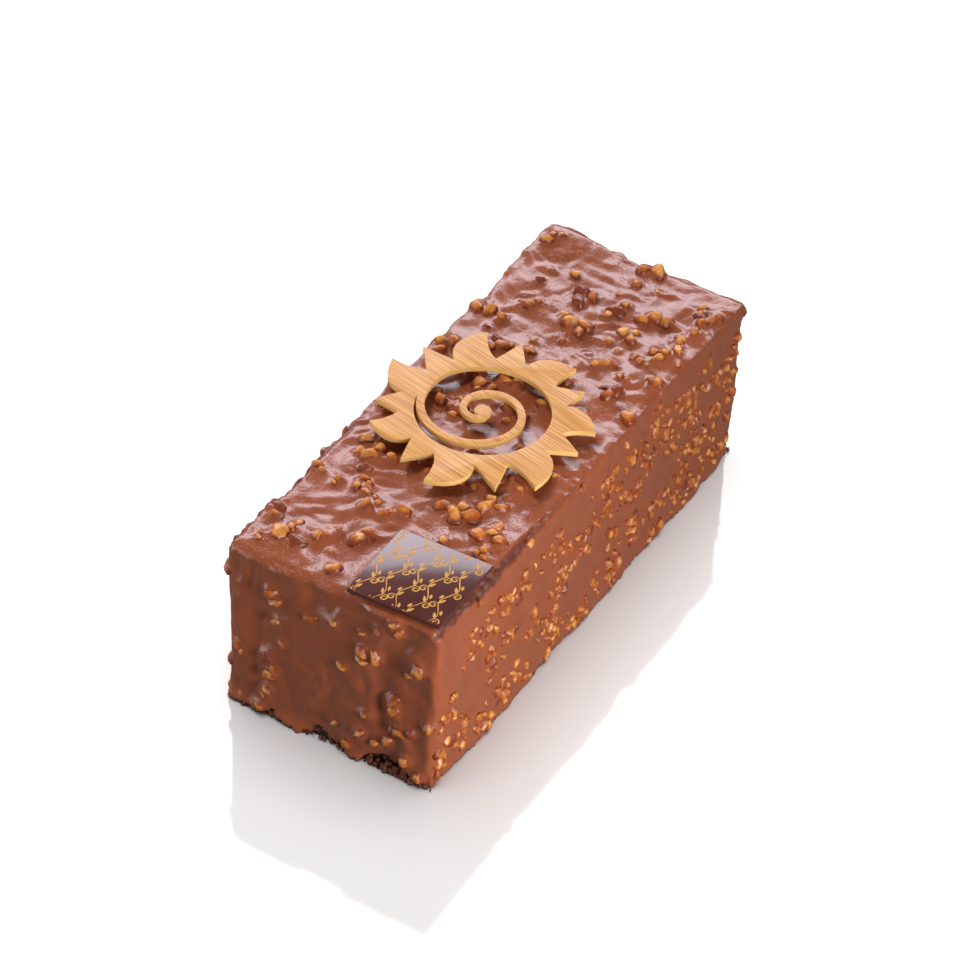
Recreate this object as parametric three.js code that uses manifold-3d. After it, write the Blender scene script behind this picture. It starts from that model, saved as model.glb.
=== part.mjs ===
// A glazed loaf cake: a plain oblong loaf under a poured coat of milk chocolate that is full of
// chopped roasted nuts. A flat bamboo sun lies on the nuts of its top, and a thin square
// chocolate plaque lies at one corner. Millimetres, +Z up, length along X.
import * as THREE from "three";
import { mergeVertices } from "three/addons/utils/BufferGeometryUtils.js";
import Module from "manifold-3d";

const wasm = await Module();
wasm.setup();

// ---------------------------------------------------------------- driving dimensions
const LOAF_LENGTH = 183;
const LOAF_WIDTH = 70;
const LOAF_HEIGHT = 61;
const RIM_RADIUS = 2.6; // where the coat rounds over the top and the upright corners
const TWIST = 0.8; // how far two opposite top corners stand above the level, and two below
const DRIFT = 0.017; // share by which the top narrows from the -X end to the +X end
const FOOT_REACH = 1.1; // the most that the coat's foot spreads
const BROAD_SWELL = 0.34; // height of the coat's broad waves
const FINE_SWELL = 0.22; // height of the finer ones that cross them
const GAP = 0.3; // clearance between pieces that touch in the real thing

const SUN_RADIUS = 35.8; // to the tips of the curled rays
const SUN_STRAIGHT_RADIUS = 33.6; // to the tips of the straight rays
const SUN_OVAL = 0.055; // share by which its tips reach further along its long axis, and less across
const SUN_LONG_AXIS = THREE.MathUtils.degToRad(35);
const SUN_VALLEY = 25; // between two rays
const SUN_HOLE = 20.5;
const SUN_PAIRS = 7; // of a curled ray and a straight one
const SUN_THICKNESS = 1.7;
const SUN_LIFT = 3.2; // its underside above the loaf's nominal top, on the tallest nuts
const SUN_DOT = 2.6; // radius of the dot that ends the spiral
const SUN_CENTRE = new THREE.Vector2(-6, 2.6);

const PLAQUE_SIDE = 30;
const PLAQUE_THICKNESS = 1.2;
const PLAQUE_CENTRE = new THREE.Vector2(-75.6, -19.2);
const PLAQUE_YAW = THREE.MathUtils.degToRad(1.4);
const BED_MARGIN = 6; // over which the coat's waves die out round the plaque

const EDGE_MARGIN = 2.2; // nearest that a nut's middle comes to a face's edge
const PLAQUE_MARGIN = 0.8; // nearest that a nut's side comes to the plaque
const CLUMP_REACH = 0.46; // from a nut to one that sticks to it, as a share of their two sizes
const LEAST_REACH = 0.38; // the least between any two nuts, in the same way
const SEAT_NUT = 5.4; // size of the nuts that carry the sun
const MOST_DRAWS = 4000; // places that are tried on one face

const HALF = new THREE.Vector3(LOAF_LENGTH / 2, LOAF_WIDTH / 2, LOAF_HEIGHT);

// Random numbers from 0 to 1, the same ones on every run.
function randomFrom(seed) {
  let state = seed;
  return () => (state = (state * 16807) % 2147483647) / 2147483647;
}

// A geometry of positions alone, with the corners that faces share merged.
function joined(geometry) {
  return mergeVertices(geometry.clone().deleteAttribute("normal").deleteAttribute("uv"), 1e-4);
}

// A THREE geometry as a manifold-3d solid.
function solidOf(geometry) {
  const closed = joined(geometry);
  return new wasm.Manifold(
    new wasm.Mesh({
      numProp: 3,
      vertProperties: new Float32Array(closed.attributes.position.array),
      triVerts: new Uint32Array(closed.index.array),
    }),
  );
}

// A manifold-3d solid as a THREE geometry.
function geometryOf(solid) {
  const mesh = solid.getMesh();
  const geometry = new THREE.BufferGeometry();
  geometry.setAttribute("position", new THREE.BufferAttribute(mesh.vertProperties, 3));
  geometry.setIndex(new THREE.BufferAttribute(mesh.triVerts, 1));
  geometry.computeVertexNormals();
  return geometry;
}

// ---------------------------------------------------------------- the coat's surface

// 1 well outside the plaque's bed, 0 in it, where the coat is level.
function offThePlaque(x, y) {
  const away = Math.max(Math.abs(x - PLAQUE_CENTRE.x), Math.abs(y - PLAQUE_CENTRE.y));
  return THREE.MathUtils.smoothstep(away, PLAQUE_SIDE / 2, PLAQUE_SIDE / 2 + BED_MARGIN);
}

// The slow swell of the poured coat at a place.
function swell(x, y, z) {
  const broad = BROAD_SWELL * Math.sin(x / 9.3 + 1.3) * Math.sin(y / 7.1 + z / 8.7 + 0.4);
  const fine = FINE_SWELL * Math.sin(x / 5.7 - y / 6.9 + z / 11.3 + 2.1);
  return (broad + fine) * (z > LOAF_HEIGHT - 1 ? offThePlaque(x, y) : 1);
}

// Height of the top's lean at a place: opposite corners stand high and low.
const lean = (x, y) => (TWIST * x * y) / (HALF.x * HALF.y);

// Takes a point of the sharp-edged box to the coat's surface, and gives the way out there.
function skin(point) {
  const core = new THREE.Vector3(
    THREE.MathUtils.clamp(point.x, RIM_RADIUS - HALF.x, HALF.x - RIM_RADIUS),
    THREE.MathUtils.clamp(point.y, RIM_RADIUS - HALF.y, HALF.y - RIM_RADIUS),
    Math.min(point.z, HALF.z - RIM_RADIUS),
  );
  const out = point.clone().sub(core).normalize();
  const place = core.addScaledVector(out, RIM_RADIUS);
  place.addScaledVector(out, swell(place.x, place.y, place.z));
  const rise = place.z / HALF.z;
  place.z += lean(place.x, place.y) * rise;
  place.y *= 1 - (DRIFT * rise * place.x) / HALF.x;
  return { place, out };
}

// A grid line of one box side: the first and last lie on its edges, the next a rim radius in.
function gridLine(share, half, steps) {
  const line = Math.round(share * steps);
  if (line === 0) return -half;
  if (line === steps) return half;
  return THREE.MathUtils.mapLinear(line, 1, steps - 1, RIM_RADIUS - half, half - RIM_RADIUS);
}

// The coated loaf without its nuts: a gridded box drawn onto the coat's surface. Its underside
// is flat, and its foot spreads unevenly where the coat set on the tray.
function coatedLoaf() {
  const steps = { x: 28, y: 11, z: 9 };
  const random = randomFrom(61);
  const box = joined(new THREE.BoxGeometry(1, 1, 1, steps.x, steps.y, steps.z));
  const at = box.attributes.position;
  for (let i = 0; i < at.count; i++) {
    const sharp = new THREE.Vector3(
      gridLine(at.getX(i) + 0.5, HALF.x, steps.x),
      gridLine(at.getY(i) + 0.5, HALF.y, steps.y),
      gridLine(at.getZ(i) + 0.5, HALF.z / 2, steps.z) + HALF.z / 2,
    );
    const onRim = Math.abs(sharp.x) === HALF.x || Math.abs(sharp.y) === HALF.y;
    if (sharp.z === 0 && onRim) {
      const { place, out } = skin(sharp);
      place.addScaledVector(out, FOOT_REACH * random());
      at.setXYZ(i, place.x, place.y, 0);
    } else if (sharp.z === 0) {
      at.setXYZ(i, sharp.x, sharp.y, 0);
    } else {
      at.setXYZ(i, ...skin(sharp).place);
    }
  }
  return solidOf(box);
}

// ---------------------------------------------------------------- chopped nuts

// The nuts of each kind of face: their sizes, the share of its size that one stands out of the
// coat, the least distance from a lone nut to the others, the share of draws that put a nut
// against another's side, and how many there are.
const TOP_NUTS = { largest: 5.2, smallest: 3, stand: 0.58, spacing: 9.2, clumped: 0.3, count: 88 };
const SIDE_NUTS = { largest: 4.4, smallest: 2.8, stand: 0.26, spacing: 9, clumped: 0.3, count: 54 };
const END_NUTS = { largest: 4.2, smallest: 2.8, stand: 0.32, spacing: 9.5, clumped: 0.2, count: 18 };

// Each face of the loaf: its centre, its two directions, its half sizes along them, its nuts.
const up = new THREE.Vector3(0, 0, 1);
const along = new THREE.Vector3(1, 0, 0);
const across = new THREE.Vector3(0, 1, 0);
const MID = LOAF_HEIGHT / 2;
const FACES = [
  { centre: [0, 0, LOAF_HEIGHT], u: along, v: across, size: [HALF.x, HALF.y], seed: 11, ...TOP_NUTS },
  { centre: [0, -HALF.y, MID], u: along, v: up, size: [HALF.x, MID], seed: 23, ...SIDE_NUTS },
  { centre: [0, HALF.y, MID], u: along, v: up, size: [HALF.x, MID], seed: 37, ...SIDE_NUTS },
  { centre: [-HALF.x, 0, MID], u: across, v: up, size: [HALF.y, MID], seed: 41, ...END_NUTS },
  { centre: [HALF.x, 0, MID], u: across, v: up, size: [HALF.y, MID], seed: 53, ...END_NUTS },
];

// Whether a nut on the top would touch the plaque.
function meetsPlaque(x, y, size) {
  const reach = PLAQUE_SIDE / 2 + size / 2 + PLAQUE_MARGIN;
  return Math.abs(x - PLAQUE_CENTRE.x) < reach && Math.abs(y - PLAQUE_CENTRE.y) < reach;
}

// Places the nuts of a face, the largest first. Some stick to the side of a lone nut, and the
// lone ones keep their spacing from all that are there.
function scatter(face) {
  const random = randomFrom(face.seed);
  const isTop = face.v === across;
  const reachU = face.size[0] - EDGE_MARGIN;
  const reachV = face.size[1] - EDGE_MARGIN;
  const nuts = [];
  const lone = [];
  for (let draw = 0; draw < MOST_DRAWS && nuts.length < face.count; draw++) {
    const size = THREE.MathUtils.lerp(face.largest, face.smallest, nuts.length / face.count);
    let u = (2 * random() - 1) * reachU;
    let v = (2 * random() - 1) * reachV;
    const sticks = random() < face.clumped && lone.length > 0;
    if (sticks) {
      const host = lone[Math.floor(random() * lone.length)];
      const away = polar(CLUMP_REACH * (host.size + size), random() * Math.PI * 2);
      u = host.u + away.x;
      v = host.v + away.y;
    }
    const gapTo = (nut) => Math.max(sticks ? 0 : face.spacing, LEAST_REACH * (nut.size + size));
    if (Math.abs(u) > reachU || Math.abs(v) > reachV) continue;
    if (nuts.some((nut) => Math.hypot(nut.u - u, nut.v - v) < gapTo(nut))) continue;
    if (isTop && meetsPlaque(u, v, size)) continue;
    nuts.push({ u, v, size });
    if (!sticks) lone.push({ u, v, size });
  }
  return nuts;
}

// A chopped nut: an icosahedron with uneven corners, a little longer than it is thick.
function choppedNut(size, random) {
  const nut = joined(new THREE.IcosahedronGeometry(size / 2, 0));
  const at = nut.attributes.position;
  const corner = new THREE.Vector3();
  for (let i = 0; i < at.count; i++) {
    corner.fromBufferAttribute(at, i).multiplyScalar(0.84 + 0.3 * random());
    at.setXYZ(i, ...corner);
  }
  nut.scale(1.12, 0.9, 0.85);
  nut.rotateZ(random() * Math.PI * 2);
  return nut;
}

// The highest that a nut's top may reach, which is lower under the sun.
function ceiling(x, y, size) {
  const away = Math.hypot(x - SUN_CENTRE.x, y - SUN_CENTRE.y);
  return away < SUN_RADIUS + size ? LOAF_HEIGHT + SUN_LIFT - GAP : Infinity;
}

// Sets a nut into the coat at a sharp-box point, standing out of it by the given height.
function setNut(point, size, stand, random) {
  const { place, out } = skin(point);
  const nut = choppedNut(size, random);
  nut.computeBoundingBox();
  nut.translate(0, 0, stand - nut.boundingBox.max.z);
  nut.applyQuaternion(new THREE.Quaternion().setFromUnitVectors(up, out));
  nut.translate(...place);
  nut.computeBoundingBox();
  const over = nut.boundingBox.max.z - ceiling(place.x, place.y, size);
  if (over > 0) nut.translate(0, 0, -over);
  return solidOf(nut);
}

// The nuts that carry the sun, about a third of a turn apart under its ring.
function seatNuts(random) {
  const seatRadius = (SUN_HOLE + SUN_VALLEY) / 2;
  return [0.1, 0.43, 0.77].map((turn) => {
    const seat = polar(seatRadius, turn * Math.PI * 2).add(SUN_CENTRE);
    return setNut(new THREE.Vector3(seat.x, seat.y, LOAF_HEIGHT), SEAT_NUT, SEAT_NUT, random);
  });
}

function cake() {
  const random = randomFrom(7);
  const solids = [coatedLoaf(), ...seatNuts(random)];
  for (const face of FACES) {
    for (const { u, v, size } of scatter(face)) {
      const point = new THREE.Vector3(...face.centre).addScaledVector(face.u, u).addScaledVector(face.v, v);
      solids.push(setNut(point, size, size * face.stand, random));
    }
  }
  return geometryOf(wasm.Manifold.union(solids));
}

// ---------------------------------------------------------------- the bamboo sun

function polar(radius, angle) {
  return new THREE.Vector2(radius * Math.cos(angle), radius * Math.sin(angle));
}

// A point of the sun's outer line, which is a little longer one way than the other.
function oval(radius, angle) {
  return polar(radius * (1 + SUN_OVAL * Math.cos(2 * (angle - SUN_LONG_AXIS))), angle);
}

// The ring with its rays, by turns a curled one with a full back and a hollow front, and a
// straight one that is narrower and shorter.
function sunRing() {
  const pair = (Math.PI * 2) / SUN_PAIRS;
  const curled = pair * 0.57;
  const shape = new THREE.Shape();
  shape.moveTo(...polar(SUN_VALLEY, 0));
  for (let i = 0; i < SUN_PAIRS; i++) {
    const start = -i * pair;
    const tip = oval(SUN_RADIUS, start - curled * 0.76);
    const back = oval(SUN_RADIUS * 0.955, start - curled * 0.06);
    const front = polar(SUN_VALLEY * 1.14, start - curled * 0.76);
    const valley = polar(SUN_VALLEY, start - curled);
    const point = oval(SUN_STRAIGHT_RADIUS, start - (curled + pair) / 2);
    const next = polar(SUN_VALLEY, start - pair);
    shape.quadraticCurveTo(back.x, back.y, tip.x, tip.y);
    shape.quadraticCurveTo(front.x, front.y, valley.x, valley.y);
    shape.lineTo(point.x, point.y);
    shape.lineTo(next.x, next.y);
  }
  const circle = new THREE.EllipseCurve(0, 0, SUN_HOLE, SUN_HOLE).getPoints(60);
  shape.holes.push(new THREE.Path(circle.slice(0, -1)));
  return shape;
}

// A tapering spiral inside the ring, from within its width to the dot at the middle. It leaves
// the ring at a slant, so that no sliver is left between them.
function sunSpiral() {
  const turns = 1.5;
  const firstAngle = 0.9;
  const steps = 54;
  const side = (sign) =>
    Array.from({ length: steps + 1 }, (_, i) => {
      const share = i / steps;
      const radius = THREE.MathUtils.lerp(SUN_HOLE + 2, SUN_DOT - 0.4, share ** 0.78);
      const width = THREE.MathUtils.lerp(2.6, 1.9, share);
      return polar(radius + (sign * width) / 2, firstAngle + share * turns * Math.PI * 2);
    });
  return new THREE.Shape([...side(1), ...side(-1).reverse()]);
}

function sun() {
  const plate = { depth: SUN_THICKNESS, bevelEnabled: false, curveSegments: 7 };
  const dot = new THREE.CylinderGeometry(SUN_DOT, SUN_DOT, SUN_THICKNESS, 16)
    .rotateX(Math.PI / 2)
    .translate(0, 0, SUN_THICKNESS / 2);
  const pieces = [
    new THREE.ExtrudeGeometry(sunRing(), plate),
    new THREE.ExtrudeGeometry(sunSpiral(), plate),
    dot,
  ];
  return geometryOf(wasm.Manifold.union(pieces.map(solidOf)));
}

// ---------------------------------------------------------------- the assembled cake

const MILK_CHOCOLATE = new THREE.MeshStandardMaterial({ color: 0x7d4429, roughness: 0.38, metalness: 0 });
const BAMBOO = new THREE.MeshStandardMaterial({ color: 0xe0ad70, roughness: 0.55, metalness: 0 });
const DARK_CHOCOLATE = new THREE.MeshStandardMaterial({ color: 0x3c2426, roughness: 0.3, metalness: 0 });

const loaf = new THREE.Mesh(cake(), MILK_CHOCOLATE);
loaf.name = "cake";

const ornament = new THREE.Mesh(sun(), BAMBOO);
ornament.name = "sun_ornament";
ornament.position.set(SUN_CENTRE.x, SUN_CENTRE.y, LOAF_HEIGHT + SUN_LIFT);

// The plaque follows the lean of the top under it. It lies a gap and a little more above the
// coat, which the turn would otherwise bring its corners down to.
const plaque = new THREE.Mesh(
  new THREE.BoxGeometry(PLAQUE_SIDE, PLAQUE_SIDE, PLAQUE_THICKNESS),
  DARK_CHOCOLATE,
);
plaque.name = "plaque";
const slopeX = (TWIST * PLAQUE_CENTRE.y) / (HALF.x * HALF.y);
const slopeY = (TWIST * PLAQUE_CENTRE.x) / (HALF.x * HALF.y);
const bed = LOAF_HEIGHT + lean(PLAQUE_CENTRE.x, PLAQUE_CENTRE.y);
const turnClearance = 0.1;
plaque.position.set(
  PLAQUE_CENTRE.x,
  PLAQUE_CENTRE.y,
  bed + GAP + turnClearance + PLAQUE_THICKNESS / 2,
);
plaque.rotation.set(Math.atan(slopeY), -Math.atan(slopeX), PLAQUE_YAW);

// The whole stands on z = 0, with the origin under the middle of its box.
const glazedLoafCake = new THREE.Group();
glazedLoafCake.add(loaf, ornament, plaque);
const bounds = new THREE.Box3().setFromObject(glazedLoafCake);
const middle = bounds.getCenter(new THREE.Vector3());
glazedLoafCake.position.set(-middle.x, -middle.y, 0);

export default glazedLoafCake;
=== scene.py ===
# A glazed loaf cake, in the order that it is made: the coat that is poured over the loaf, the
# chopped nuts in it, the crumbs at its foot, the bamboo sun and the printed chocolate plaque.
# Shapes are worked out in millimetres round the loaf's own middle, and brought to metres last.
import math
import bmesh
import bpy
import numpy as np
from mathutils import Matrix, Vector, noise


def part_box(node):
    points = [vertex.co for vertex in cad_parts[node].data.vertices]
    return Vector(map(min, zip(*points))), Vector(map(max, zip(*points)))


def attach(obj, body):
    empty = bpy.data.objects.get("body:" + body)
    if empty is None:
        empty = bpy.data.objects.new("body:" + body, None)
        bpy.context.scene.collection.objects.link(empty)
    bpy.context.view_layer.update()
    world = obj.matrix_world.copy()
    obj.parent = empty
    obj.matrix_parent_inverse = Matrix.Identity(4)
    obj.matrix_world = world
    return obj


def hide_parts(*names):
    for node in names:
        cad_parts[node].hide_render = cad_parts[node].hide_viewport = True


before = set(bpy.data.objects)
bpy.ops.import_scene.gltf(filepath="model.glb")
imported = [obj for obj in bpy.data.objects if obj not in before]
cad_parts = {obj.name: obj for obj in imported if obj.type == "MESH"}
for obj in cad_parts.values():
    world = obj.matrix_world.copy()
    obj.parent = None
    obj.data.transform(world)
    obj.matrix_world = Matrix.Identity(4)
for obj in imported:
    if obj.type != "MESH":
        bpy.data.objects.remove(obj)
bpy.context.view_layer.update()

# ---------------------------------------------------------------- the view
# The loaf is seen from past its plaque end and its long -Y side, from 40 degrees above, by a
# long lens about a metre away. The camera is turned a little about its own axis.
MM = 0.001
VIEW_AZIMUTH = math.radians(-60.85)
VIEW_ELEVATION = math.radians(40.39)
VIEW_ROLL = math.radians(3.2)
VIEW_DISTANCE = 991.4
VIEW_TARGET = Vector((2.63, 7.08, 30.56))
LENS = 122.2

PLAQUE_CENTRE = Vector((-75.6, -19.2))
plaque_low, plaque_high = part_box("plaque")
plaque_middle = (plaque_low + plaque_high) / 2
# Where the loaf's own middle lies in the row's frame, in metres.
LOAF_PLACE = Vector((plaque_middle.x - PLAQUE_CENTRE.x * MM, plaque_middle.y - PLAQUE_CENTRE.y * MM, 0))
TO_ROW = Matrix.Translation(LOAF_PLACE) @ Matrix.Scale(MM, 4)

back = Vector((
    math.sin(VIEW_AZIMUTH) * math.cos(VIEW_ELEVATION),
    -math.cos(VIEW_AZIMUTH) * math.cos(VIEW_ELEVATION),
    math.sin(VIEW_ELEVATION),
))
right = Vector((math.cos(VIEW_AZIMUTH), math.sin(VIEW_AZIMUTH), 0))
right = Matrix.Rotation(VIEW_ROLL, 3, back) @ right
camera = bpy.data.objects.new("camera", bpy.data.cameras.new("camera"))
bpy.context.scene.collection.objects.link(camera)
camera.data.sensor_width = 36
camera.data.lens = LENS
camera.data.clip_start = 0.05
camera.data.clip_end = 20
camera.matrix_world = (
    Matrix.Translation(TO_ROW @ (VIEW_TARGET + back * VIEW_DISTANCE))
    @ Matrix((right, back.cross(right), back)).transposed().to_4x4()
)
bpy.context.scene.camera = camera

# ---------------------------------------------------------------- where the chopped nuts lie
# Roasted nuts, chopped to 2 to 5 mm, are stirred into the coat before it is poured. On the top
# they settle as they fall, in ones and clumps, and stand well out. Down the sides they slide
# and lie nearly flush, far more of them on the long sides than on the ends.
LENGTH, WIDTH, HEIGHT = 183, 70, 61
HALF_X, HALF_Y, MID = LENGTH / 2, WIDTH / 2, HEIGHT / 2
PLAQUE_SIDE = 30
PLAQUE_MARGIN = 0.8
EDGE_MARGIN = 2.2
# From a nut to one that sticks to it, and the least between any two, as shares of their sizes.
CLUMP_REACH = 0.46
LEAST_REACH = 0.38
MOST_DRAWS = 4000
DRIFT_STRETCH, BARE_BELOW = 1.5, -0.1


def random_from(seed):
    """Random numbers from 0 to 1, the same ones on every run."""
    state = seed
    while True:
        state = state * 16807 % 2147483647
        yield state / 2147483647


def between(low, high, random):
    return low + (high - low) * next(random)


def near_plaque(x, y, size):
    reach = PLAQUE_SIDE / 2 + size / 2 + PLAQUE_MARGIN
    return abs(x - PLAQUE_CENTRE.x) < reach and abs(y - PLAQUE_CENTRE.y) < reach


def scatter(face, nuts, random, count, largest, smallest, spacing, clumped, lowered=0, drifts=None):
    """Adds nuts to a face, the largest first. Some stick to the side of a lone one."""
    reach_u, reach_v = face["half"][0] - EDGE_MARGIN, face["half"][1] - EDGE_MARGIN
    lone = [nut for nut in nuts if nut["lone"]]
    placed = 0
    for _ in range(MOST_DRAWS):
        if placed == count:
            break
        size = largest + (smallest - largest) * placed / count
        u = (2 * next(random) - 1) * reach_u
        v = (2 * next(random) - 1) * reach_v
        sticks = next(random) < clumped and len(lone) > 0
        if sticks:
            host = lone[int(next(random) * len(lone))]
            away = CLUMP_REACH * (host["size"] + size)
            turn = next(random) * 2 * math.pi
            u = host["u"] + away * math.cos(turn)
            v = host["v"] + away * math.sin(turn)
        if abs(u) > reach_u or abs(v) > reach_v or v > reach_v - lowered:
            continue
        spot = Vector((u / drifts, v / drifts * DRIFT_STRETCH, face["seed"])) if drifts else None
        if drifts and noise.noise(spot) < BARE_BELOW:
            continue
        gap = 0 if sticks else spacing
        if any(math.hypot(n["u"] - u, n["v"] - v) < max(gap, LEAST_REACH * (n["size"] + size)) for n in nuts):
            continue
        if face["name"] == "top" and near_plaque(u, v, size):
            continue
        nuts.append({"u": u, "v": v, "size": size, "lone": not sticks})
        if not sticks:
            lone.append(nuts[-1])
        placed += 1


# Each face's centre, directions and half sizes, and how far its nuts stand out, as a share of
# their size. The large nuts come first, by count, largest, smallest, spacing and clumped share,
# and then the small ones that lie between. On the long sides the small ones stay 7 mm below the
# rim, and lie in drifts about 24 mm long with bare coat between.
ALONG, ACROSS, UP = (1, 0, 0), (0, 1, 0), (0, 0, 1)
TOP = {"name": "top", "half": (HALF_X, HALF_Y), "stand": 0.5,
       "large": (88, 5.2, 3.0, 9.2, 0.3), "small": (98, 3.9, 1.8, 4.4, 0.45)}
SIDE = {"name": "side", "half": (HALF_X, MID), "stand": 0.36,
        "large": (54, 4.4, 2.8, 9.0, 0.3), "small": (300, 4.3, 2.2, 3.0, 0.5, 7, 24)}
END = {"name": "end", "half": (HALF_Y, MID), "stand": 0.5,
       "large": (18, 4.2, 2.8, 9.5, 0.2), "small": (20, 3.8, 2.0, 5.0, 0.3)}
FACES = [
    {"at": (0, 0, HEIGHT), "u": ALONG, "v": ACROSS, "seed": 11, **TOP},
    {"at": (0, -HALF_Y, MID), "u": ALONG, "v": UP, "seed": 23, **SIDE},
    {"at": (0, HALF_Y, MID), "u": ALONG, "v": UP, "seed": 37, **SIDE},
    {"at": (-HALF_X, 0, MID), "u": ACROSS, "v": UP, "seed": 41, **END},
    {"at": (HALF_X, 0, MID), "u": ACROSS, "v": UP, "seed": 53, **END},
]

# ---------------------------------------------------------------- the coat
# Milk chocolate, poured over the whole loaf on a rack and left to set. It rounds over the rim,
# runs down the ends in soft folds, is scraped flat on the long sides, and stops raggedly at
# the foot, where the dark cake shows. It creeps up every nut that is stuck in it.
RIM_RADIUS = 2.6
# The top's twist over its length, and the sideways lean of its far end.
TWIST = 0.8
DRIFT = 0.017
BROAD_SWELL, FINE_SWELL = 0.34, 0.22
FAR_CORNER_GAIN = (0, 1.0, 1.6)
FAR_CORNER_START = 45
# Round the plaque the coat is flat, and reaches its full waves this far from it.
BED_MARGIN = 6
CELL = 0.72


def smoothstep(x, low, high):
    t = np.clip((x - low) / (high - low), 0, 1)
    return t * t * (3 - 2 * t)


def off_plaque(place):
    away = np.maximum(abs(place[:, 0] - PLAQUE_CENTRE.x), abs(place[:, 1] - PLAQUE_CENTRE.y))
    return smoothstep(away, PLAQUE_SIDE / 2, PLAQUE_SIDE / 2 + BED_MARGIN)


def skin(sharp):
    """Takes points of the sharp-edged box to the coat's surface, and gives the way out there."""
    sharp = np.asarray(sharp, float).reshape(-1, 3)
    lowest = (RIM_RADIUS - HALF_X, RIM_RADIUS - HALF_Y, -1)
    highest = (HALF_X - RIM_RADIUS, HALF_Y - RIM_RADIUS, HEIGHT - RIM_RADIUS)
    core = np.clip(sharp, lowest, highest)
    out = sharp - core
    out /= np.linalg.norm(out, axis=1)[:, None]
    place = core + RIM_RADIUS * out
    x, y, z = place.T
    swell = BROAD_SWELL * np.sin(x / 9.3 + 1.3) * np.sin(y / 7.1 + z / 8.7 + 0.4)
    swell += FINE_SWELL * np.sin(x / 5.7 - y / 6.9 + z / 11.3 + 2.1)
    swell *= np.where(z > HEIGHT - 1, off_plaque(place), 1)
    place += out * swell[:, None]
    rise = place[:, 2] / HEIGHT
    place[:, 2] += TWIST * place[:, 0] * place[:, 1] / (HALF_X * HALF_Y) * rise
    place[:, 1] *= 1 - DRIFT * rise * place[:, 0] / HALF_X
    # The coat gathered thickest at the far corner.
    far_corner = smoothstep(place[:, 0], FAR_CORNER_START, HALF_X) * smoothstep(place[:, 1], 0, HALF_Y) * rise
    place += far_corner[:, None] * np.array(FAR_CORNER_GAIN)
    return place, out


def ripple(points, size, seed, stretch=(1, 1, 1)):
    """Smooth noise from about -0.7 to 0.7 at points, with bumps of about that size."""
    scaled = points / (size * np.array(stretch)) + seed
    return np.array([noise.noise(Vector(p)) for p in scaled])


# A grid over the top, whose hem is drawn down in rings to the foot and closed there.
bm = bmesh.new()
cells = (round(LENGTH / CELL), round(WIDTH / CELL), round(HEIGHT / CELL))
bmesh.ops.create_grid(
    bm, x_segments=cells[0], y_segments=cells[1], size=1,
    matrix=Matrix.Translation((0, 0, HEIGHT)) @ Matrix.Diagonal((HALF_X, HALF_Y, 1, 1)),
)
hem = [e for e in bm.edges if e.is_boundary]
for _ in range(cells[2]):
    drawn = bmesh.ops.extrude_edge_only(bm, edges=hem)["geom"]
    corners = [g for g in drawn if isinstance(g, bmesh.types.BMVert)]
    bmesh.ops.translate(bm, vec=(0, 0, -HEIGHT / cells[2]), verts=corners)
    hem = [g for g in drawn if isinstance(g, bmesh.types.BMEdge) and g.is_boundary]
bmesh.ops.contextual_create(bm, geom=hem)
bmesh.ops.recalc_face_normals(bm, faces=bm.faces)
coat_mesh = bpy.data.meshes.new("coat")
bm.to_mesh(coat_mesh)
bm.free()

sharp = np.zeros(len(coat_mesh.vertices) * 3)
coat_mesh.vertices.foreach_get("co", sharp)
sharp = sharp.reshape(-1, 3)
sharp[:, 2] = np.clip(sharp[:, 2], 0, HEIGHT)
place, out = skin(sharp)
top_share = smoothstep(out[:, 2], 0.1, 0.6)
side_share = smoothstep(abs(out[:, 1]), 0.6, 0.95)
end_share = smoothstep(abs(out[:, 0]), 0.6, 0.95)

# The pour's own waves: soft swirls and a few wrinkles on the top, and folds down the ends.
swirl = ripple(place, 13, 3.1)
warped = place + 6 * swirl[:, None]
lumps = ripple(warped, 4.6, 5.3)
wrinkled = smoothstep(ripple(place, 26, 7.7), 0, 0.3)
wrinkle = (1 - abs(ripple(warped, 8.5, 1.9, (1, 1.4, 1)))) ** 4 - 0.4
pour = (0.95 * swirl + 0.55 * lumps + 0.5 * wrinkle * wrinkled) * off_plaque(place)
fold = 1.2 * ripple(warped, 8.5, 9.4, (1, 1, 4)) + 0.6 * ripple(warped, 4.4, 2.8, (1, 1, 1.8))
scrape = 0.4 * ripple(place, 13, 6.6, (0.8, 1, 1.6)) + 0.3 * ripple(place, 4.2, 8.2)
relief = top_share * pour + end_share * 1.2 * fold + side_share * scrape

# The scraped sides are flat right up to the rim, which is a tight, uneven edge. Beside the
# plaque the scraper broke the setting coat, so they start at a lower line, and the rim above
# it is rough, and is painted a darker brown there as painted shade.
RIM_LINE, BROKEN_DEPTH = 0.2, 2.8
RIM_SHARPNESS = 0.75
BROKEN_START, BROKEN_WHOLE = 12, 55
below_rim = HEIGHT - sharp[:, 2]
beside = smoothstep(-place[:, 0], BROKEN_START, BROKEN_WHOLE)
line = RIM_LINE + BROKEN_DEPTH * beside
line += (0.6 + 1.2 * beside) * ripple(place, 9, 4.4) + 1.2 * ripple(place, 2.4, 1.1)
proud = smoothstep(below_rim, line - 0.25, line + 0.25)
rim_share = smoothstep(abs(out[:, 1]), 0.15, 0.5) * (sharp[:, 2] > HEIGHT - 8)
# This mask shapes the broken rim, and also paints it darker brown as painted shade, most beside the plaque.
edge = rim_share * (1 - proud) * (0.15 + 0.85 * beside)
corner = np.minimum(abs(out[:, 1]), np.clip(out[:, 2], 0, 1)) / math.sqrt(0.5)
relief += RIM_SHARPNESS * corner ** 3 * (1 - beside * (1 - proud))
relief += edge * (0.9 * ripple(place, 2.3, 5.9) - 0.5) + rim_share * proud * 0.15
relief += smoothstep(corner, 0, 0.5) * (0.5 * ripple(place, 6.5, 7.2) + 0.35 * ripple(place, 2.4, 9.1))

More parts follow.
